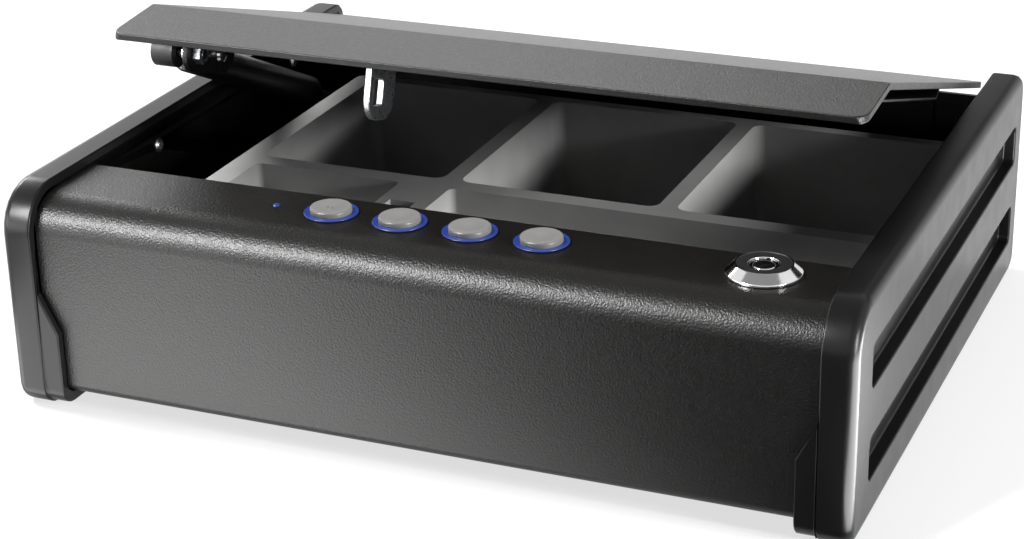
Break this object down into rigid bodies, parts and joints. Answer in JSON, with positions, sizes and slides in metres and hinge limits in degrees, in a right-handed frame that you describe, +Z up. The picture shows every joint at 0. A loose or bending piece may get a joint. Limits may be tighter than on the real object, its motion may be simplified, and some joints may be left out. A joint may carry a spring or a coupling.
{
  "type": "portable car safe",
  "caption": "Low black steel portable safe with moulded end caps, a part-open hinged lid on a gas strut, a grey organiser tray, four lit buttons and a round key lock.",
  "frame": {"origin": "middle of the footprint, on the surface that the safe stands on", "axes": "+X to the right along the front, +Y from the front to the rear, +Z up; the lid is stored 17.4 degrees open as in the picture"},
  "size_m": [0.36, 0.288, 0.1471],
  "materials": {
    "black_powder": "satin black powder coat",
    "cap_plastic": "satin black moulded plastic",
    "zinc_steel": "bright zinc plate",
    "chrome_steel": "polished",
    "black_plastic": "moulded black plastic",
    "tray_plastic": "fine-grained grey plastic",
    "button_plastic": "light grey plastic",
    "blue_light": "clear blue plastic, lit",
    "board": "green circuit board",
    "cell_sleeve": "printed sleeve without text",
    "mat_foam": "soft black foam mat"
  },
  "bodies": {
    "safe_body": {"body_shell": "black_powder", "right_side_wall": "black_powder", "left_side_wall": "black_powder", "right_end_cap": "cap_plastic", "left_end_cap": "cap_plastic", "left_cap_screw_front": "zinc_steel", "right_cap_screw_front": "zinc_steel", "left_cap_screw_rear": "zinc_steel", "right_cap_screw_rear": "zinc_steel", "mechanism_cover": "black_powder", "floor_mat": "mat_foam", "body_hinge_leaf": "black_powder", "hinge_pin": "zinc_steel", "wall_ball_stud": "chrome_steel", "light_ring_1": "blue_light", "light_ring_2": "blue_light", "light_ring_3": "blue_light", "light_ring_4": "blue_light", "keypad_frame": "black_plastic", "keypad_board": "board", "status_lamp": "blue_light", "lock_housing": "chrome_steel", "lock_nut": "zinc_steel", "guide_screw_1": "zinc_steel", "guide_screw_2": "zinc_steel", "mechanism_plate": "zinc_steel", "latch_housing": "black_plastic", "solenoid_body": "black_plastic", "control_board": "board", "battery_1": "cell_sleeve", "battery_2": "cell_sleeve", "battery_3": "cell_sleeve", "battery_4": "cell_sleeve", "battery_holder": "black_plastic"},
    "lid": {"lid_panel": "black_powder", "lid_stiffener": "black_powder", "strike_tongue": "zinc_steel", "lid_hinge_leaf": "black_powder", "strut_bracket": "black_powder", "lid_ball_stud": "chrome_steel", "ball_stud_nut": "zinc_steel", "bracket_rivet": "chrome_steel"},
    "strut_tube": {"strut_cylinder": "black_powder", "strut_lid_socket": "black_plastic"},
    "strut_piston": {"strut_rod": "chrome_steel", "strut_body_socket": "black_plastic"},
    "key_1": {"button_1": "button_plastic"},
    "key_2": {"button_2": "button_plastic"},
    "key_3": {"button_3": "button_plastic"},
    "key_4": {"button_4": "button_plastic"},
    "bolt": {"bolt_bar": "zinc_steel", "solenoid_plunger": "zinc_steel"},
    "key_plug": {"lock_plug": "zinc_steel", "lock_cam": "zinc_steel"},
    "battery_door": {"battery_cover": "black_plastic"},
    "tray": {"organiser_tray": "tray_plastic"}
  },
  "joints": [
    {"name": "lid_hinge", "type": "hinge", "parent": "safe_body", "child": "lid", "pos_m": [0, 0.134, 0.088], "axis": [-1, 0, 0], "range_deg": [-17.4, 37.6]},
    {"name": "strut_rod_pivot", "type": "hinge", "parent": "safe_body", "child": "strut_piston", "pos_m": [-0.157, 0.129, 0.047], "axis": [-1, 0, 0], "range_deg": [-15.8, 34.1]},
    {"name": "strut_tube_pivot", "type": "hinge", "parent": "lid", "child": "strut_tube", "pos_m": [-0.157, -0.03794, 0.12554], "axis": [-1, 0, 0], "range_deg": [-3.75, 1.8]},
    {"name": "button_1_press", "type": "slide", "parent": "safe_body", "child": "key_1", "axis": [0, 0, -1], "range_m": [0, 0.0015], "stiffness_N_per_m": 400},
    {"name": "button_2_press", "type": "slide", "parent": "safe_body", "child": "key_2", "axis": [0, 0, -1], "range_m": [0, 0.0015], "stiffness_N_per_m": 400},
    {"name": "button_3_press", "type": "slide", "parent": "safe_body", "child": "key_3", "axis": [0, 0, -1], "range_m": [0, 0.0015], "stiffness_N_per_m": 400},
    {"name": "button_4_press", "type": "slide", "parent": "safe_body", "child": "key_4", "axis": [0, 0, -1], "range_m": [0, 0.0015], "stiffness_N_per_m": 400},
    {"name": "bolt_slide", "type": "slide", "parent": "safe_body", "child": "bolt", "axis": [-1, 0, 0], "range_m": [0, 0.005]},
    {"name": "key_turn", "type": "hinge", "parent": "safe_body", "child": "key_plug", "pos_m": [0.1342, -0.1089, 0.08], "axis": [0, 0, -1], "range_deg": [0, 90.1]},
    {"name": "battery_cover_slide", "type": "slide", "parent": "safe_body", "child": "battery_door", "axis": [1, 0, 0], "range_m": [0, 0.05]},
    {"name": "tray_lift", "type": "slide", "parent": "safe_body", "child": "tray", "axis": [0, 0, 1], "range_m": [0, 0.015]}
  ],
  "couplings": [
    {"joint": "strut_rod_pivot", "follows": "lid_hinge", "ratio": 0.903},
    {"joint": "strut_tube_pivot", "follows": "lid_hinge", "ratio": -0.097},
    {"joint": "key_turn", "follows": "bolt_slide", "rad_per_m": 314.16}
  ]
}
